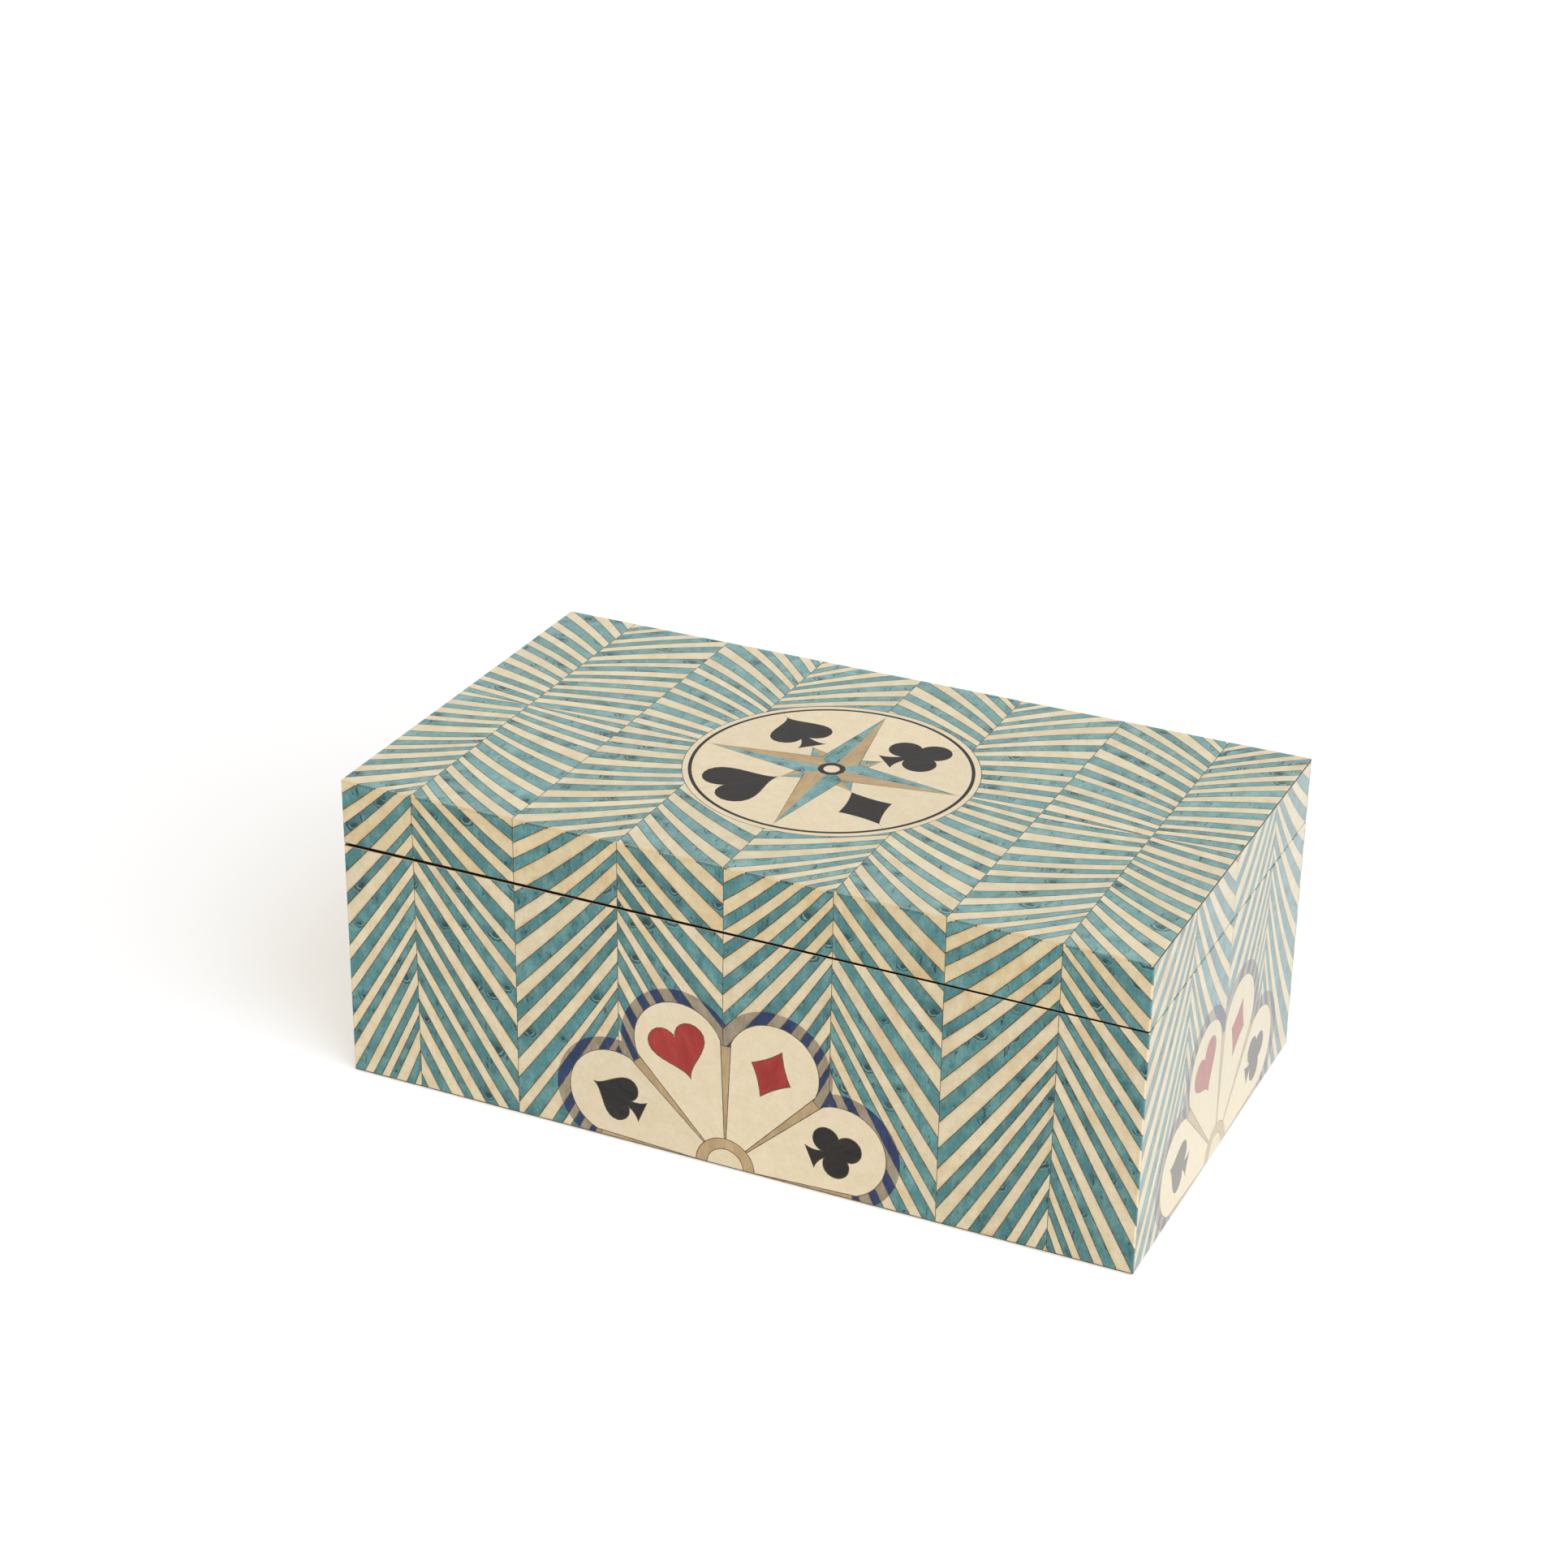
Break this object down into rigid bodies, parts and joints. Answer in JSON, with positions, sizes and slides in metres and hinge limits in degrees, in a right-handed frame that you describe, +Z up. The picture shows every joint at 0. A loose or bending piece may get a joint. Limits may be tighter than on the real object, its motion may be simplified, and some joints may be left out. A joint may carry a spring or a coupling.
{
  "type": "playing card box",
  "caption": "Oblong wooden box with a back-hinged lid, chevron marquetry outside, and suede-lined wells inside for packs of playing cards.",
  "frame": {"origin": "on the surface that the box stands on, midway along its length and midway between its outer front and back veneers", "axes": "+X along the box to its right, +Y from its front to its hinged back, +Z up"},
  "size_m": [0.23, 0.1337, 0.09],
  "materials": {
    "marquetry": "satin lacquered veneer, teal bird's-eye and cream strips",
    "rim_veneer": "satin lacquered brown veneer",
    "core_wood": "plain sanded wood",
    "suede": "short-napped suede",
    "baize": "thin woollen baize",
    "brass": "fine-brushed, lightly polished"
  },
  "bodies": {
    "case": {"front_wall": "core_wood", "back_wall": "core_wood", "left_wall": "core_wood", "right_wall": "core_wood", "bottom_panel": "core_wood", "base_baize": "baize", "front_veneer": "marquetry", "back_veneer": "marquetry", "left_veneer": "marquetry", "right_veneer": "marquetry", "body_rim": "rim_veneer", "front_liner": "suede", "back_liner": "suede", "left_liner": "suede", "right_liner": "suede", "left_divider": "suede", "right_divider": "suede", "left_floor_pad": "suede", "centre_floor_pad": "suede", "right_floor_pad": "suede", "left_hinge_body_leaf": "brass", "right_hinge_body_leaf": "brass", "left_hinge_pin": "brass", "right_hinge_pin": "brass", "left_body_screw_1": "brass", "left_body_screw_2": "brass", "left_body_screw_3": "brass", "right_body_screw_1": "brass", "right_body_screw_2": "brass", "right_body_screw_3": "brass"},
    "lid": {"lid_front_rail": "core_wood", "lid_back_rail": "core_wood", "lid_left_rail": "core_wood", "lid_right_rail": "core_wood", "lid_panel": "core_wood", "lid_top_veneer": "marquetry", "lid_front_veneer": "marquetry", "lid_back_veneer": "marquetry", "lid_left_veneer": "marquetry", "lid_right_veneer": "marquetry", "lid_rim": "rim_veneer", "lid_front_liner": "suede", "lid_back_liner": "suede", "lid_left_liner": "suede", "lid_right_liner": "suede", "lid_pad": "suede", "left_hinge_lid_leaf": "brass", "right_hinge_lid_leaf": "brass", "left_lid_screw_1": "brass", "left_lid_screw_2": "brass", "left_lid_screw_3": "brass", "right_lid_screw_1": "brass", "right_lid_screw_2": "brass", "right_lid_screw_3": "brass"}
  },
  "joints": [
    {"name": "lid_hinge", "type": "hinge", "parent": "case", "child": "lid", "pos_m": [0, 0.0665, 0.0708], "axis": [-1, 0, 0], "range_deg": [0, 95]}
  ]
}
